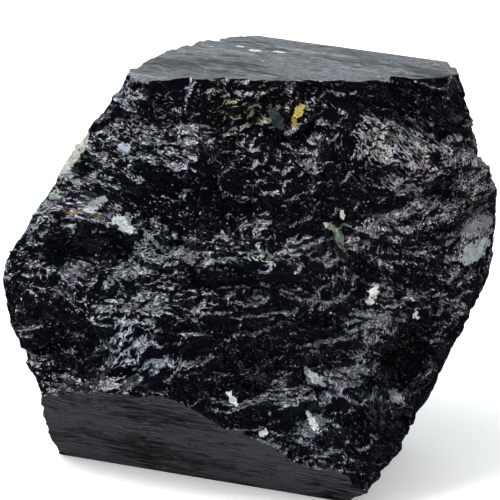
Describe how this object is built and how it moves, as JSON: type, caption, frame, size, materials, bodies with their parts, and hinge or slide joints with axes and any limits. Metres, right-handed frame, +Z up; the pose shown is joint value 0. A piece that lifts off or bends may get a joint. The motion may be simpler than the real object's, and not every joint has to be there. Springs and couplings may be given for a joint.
{
  "type": "tourmaline crystal",
  "caption": "Hand-sized broken piece of black tourmaline (schorl) with smooth lined prism faces and one big rough front break, resting on its flat base face.",
  "frame": {"origin": "centre of the bounding box's bottom, on the base face that the piece rests on", "axes": "+X along the crystal's length (its c axis) towards the right end, -Y towards the rough front break, +Z up out of the level top face"},
  "size_m": [0.0864, 0.0548, 0.0736],
  "materials": {
    "schorl": "opaque black, glassy and hackly where broken, satin and finely lined on the natural faces"
  },
  "bodies": {
    "root": {"tourmaline_crystal": "schorl"}
  },
  "joints": []
}
